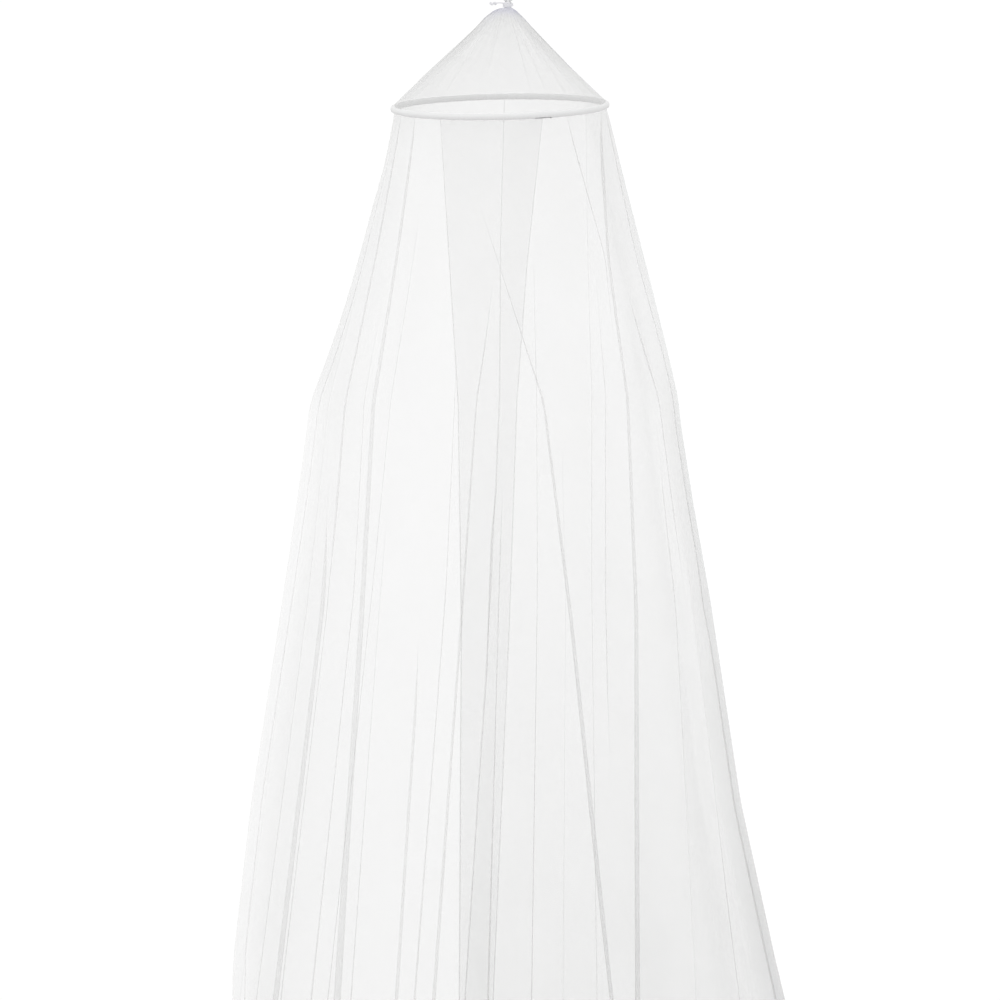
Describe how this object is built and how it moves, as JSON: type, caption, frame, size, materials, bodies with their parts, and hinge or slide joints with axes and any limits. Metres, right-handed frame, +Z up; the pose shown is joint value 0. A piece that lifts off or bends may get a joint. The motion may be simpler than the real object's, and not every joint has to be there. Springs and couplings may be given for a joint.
{
  "type": "mosquito net canopy with its hoop",
  "caption": "Round white mosquito net canopy: a gathered roof over a hoop in a sewn casing, a long flared skirt with a lapped front opening, and a hanging loop.",
  "frame": {"origin": "where the ceiling hook bears inside the hanging loop", "axes": "+Z up, +X to the right seen from the front, the lapped opening faces -Y"},
  "size_m": [1.4526, 1.2889, 2.7852],
  "materials": {
    "cord": "white braided cord",
    "net": "sheer white warp-knitted net",
    "hoop_rod": "smooth white plastic",
    "joiner": "grey moulded plastic",
    "casing_cloth": "white woven tape"
  },
  "bodies": {
    "root": {"hanging_loop": "cord", "tie": "cord", "roof": "net", "hoop": "hoop_rod", "hoop_joiner": "joiner", "hoop_casing": "casing_cloth", "left_panel": "net", "right_panel": "net"}
  },
  "joints": []
}
